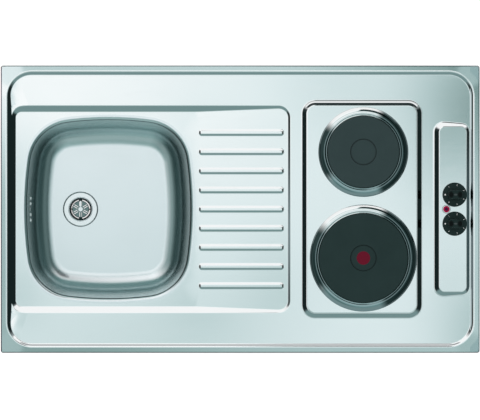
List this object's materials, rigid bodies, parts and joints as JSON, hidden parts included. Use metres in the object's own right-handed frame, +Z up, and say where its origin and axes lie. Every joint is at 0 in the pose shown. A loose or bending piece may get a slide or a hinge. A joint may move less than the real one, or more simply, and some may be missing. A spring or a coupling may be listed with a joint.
{
  "type": "kitchenette unit with sink and hob",
  "caption": "Lay-on stainless kitchenette top with sink bowl, ribbed drainer, waste, cast iron hotplates and a control strip.",
  "frame": {"origin": "middle of the footprint, in the plane of the return flanges that rest on the cabinet", "axes": "+X along the length from the bowl to the controls, +Y to the back, +Z up"},
  "size_m": [1, 0.6, 0.2563],
  "materials": {
    "stainless_sheet": "satin stainless sheet, drawn and folded",
    "polished_steel": "bright stainless steel",
    "ring_steel": "bright rolled stainless ring",
    "galvanised_sheet": "galvanised steel sheet",
    "zinc_fasteners": "zinc plated steel",
    "hotplate_iron": "turned cast iron with a dark protective coat",
    "heater_ceramic": "pale fired ceramic",
    "bitumen": "matt bitumen damping sheet",
    "seal_rubber": "dark elastic seal",
    "drain_plastic": "white moulded polypropylene",
    "hose_plastic": "grey ribbed hose",
    "switch_plastic": "dark moulded thermoset",
    "cam_plastic": "natural moulded nylon",
    "contact_brass": "stamped brass",
    "knob_plastic": "dark moulded plastic with pale marks",
    "bright_trim": "bright plated ring",
    "lamp_red": "tinted red lens",
    "gland_plastic": "dark grey moulded nylon",
    "terminal_plastic": "pale moulded terminal block",
    "wire_sleeve": "woven glass sleeve over wires"
  },
  "bodies": {
    "top": {"worktop_deck": "stainless_sheet", "sink_bowl": "stainless_sheet", "deck_stiffeners": "galvanised_sheet", "electrics_tray": "galvanised_sheet", "bowl_damping_pad": "bitumen", "drainer_damping_pad": "bitumen", "waste_top_seal": "seal_rubber", "waste_bottom_seal": "seal_rubber", "overflow_seal": "seal_rubber", "back_plate_seal": "seal_rubber", "front_plate_seal": "seal_rubber", "knob_seals": "seal_rubber", "waste_flange": "polished_steel", "strainer_grid": "polished_steel", "strainer_screw": "polished_steel", "overflow_screw": "polished_steel", "hose_clips": "polished_steel", "waste_body": "drain_plastic", "overflow_housing": "drain_plastic", "overflow_hose": "hose_plastic", "back_spill_ring": "ring_steel", "front_spill_ring": "ring_steel", "back_hotplate": "hotplate_iron", "front_hotplate": "hotplate_iron", "back_heating_elements": "heater_ceramic", "front_heating_elements": "heater_ceramic", "back_terminal_block": "heater_ceramic", "front_terminal_block": "heater_ceramic", "front_heat_limiter": "heater_ceramic", "back_plate_cover": "galvanised_sheet", "front_plate_cover": "galvanised_sheet", "back_clamp_bridge": "galvanised_sheet", "front_clamp_bridge": "galvanised_sheet", "plate_studs": "zinc_fasteners", "plate_nuts": "zinc_fasteners", "switch_screws": "zinc_fasteners", "tray_studs": "zinc_fasteners", "tray_nuts": "zinc_fasteners", "back_switch_base": "switch_plastic", "front_switch_base": "switch_plastic", "back_switch_cover": "switch_plastic", "front_switch_cover": "switch_plastic", "back_switch_contacts": "contact_brass", "front_switch_contacts": "contact_brass", "lamp_bezel": "bright_trim", "lamp_lens": "lamp_red", "lamp_body": "switch_plastic", "cable_gland": "gland_plastic", "gland_nut": "gland_plastic", "mains_terminal": "terminal_plastic", "plate_wiring": "wire_sleeve", "supply_wiring": "wire_sleeve"},
    "back_dial": {"back_knob": "knob_plastic", "back_knob_spring": "polished_steel", "back_switch_shaft": "zinc_fasteners", "back_switch_cam": "cam_plastic"},
    "front_dial": {"front_knob": "knob_plastic", "front_knob_spring": "polished_steel", "front_switch_shaft": "zinc_fasteners", "front_switch_cam": "cam_plastic"}
  },
  "joints": [
    {"name": "back_dial_turn", "type": "hinge", "parent": "top", "child": "back_dial", "pos_m": [0.44779, 0.0303, 0.04075], "axis": [0.0694, 0, 0.9976], "continuous": true},
    {"name": "front_dial_turn", "type": "hinge", "parent": "top", "child": "front_dial", "pos_m": [0.44779, -0.0303, 0.04075], "axis": [0.0694, 0, 0.9976], "continuous": true}
  ]
}
